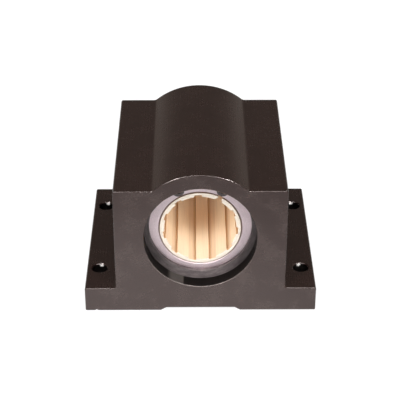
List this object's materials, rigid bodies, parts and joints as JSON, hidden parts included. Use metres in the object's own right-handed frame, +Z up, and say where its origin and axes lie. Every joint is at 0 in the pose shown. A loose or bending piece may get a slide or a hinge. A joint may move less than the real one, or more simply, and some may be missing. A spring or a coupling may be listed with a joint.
{
  "type": "linear pillow block bearing",
  "caption": "Closed linear pillow block: a flanged, crowned aluminium block whose bore holds a sleeve with a grooved polymer liner, kept in by retaining rings, for a sliding shaft.",
  "frame": {"origin": "centre of the mounting face, under the middle of the block", "axes": "+X across the two foot flanges, +Y along the shaft towards the rear end, +Z up from the mounting face"},
  "size_m": [0.0826, 0.0714, 0.0555],
  "materials": {
    "black_anodised_aluminium": "satin black anodised",
    "clear_anodised_aluminium": "turned, clear anodised",
    "liner_polymer": "moulded, cream, matte",
    "ring_steel": "phosphated spring steel"
  },
  "bodies": {
    "root": {"housing": "black_anodised_aluminium", "bearing_sleeve": "clear_anodised_aluminium", "bearing_liner": "liner_polymer", "front_retaining_ring": "ring_steel", "rear_retaining_ring": "ring_steel"}
  },
  "joints": []
}
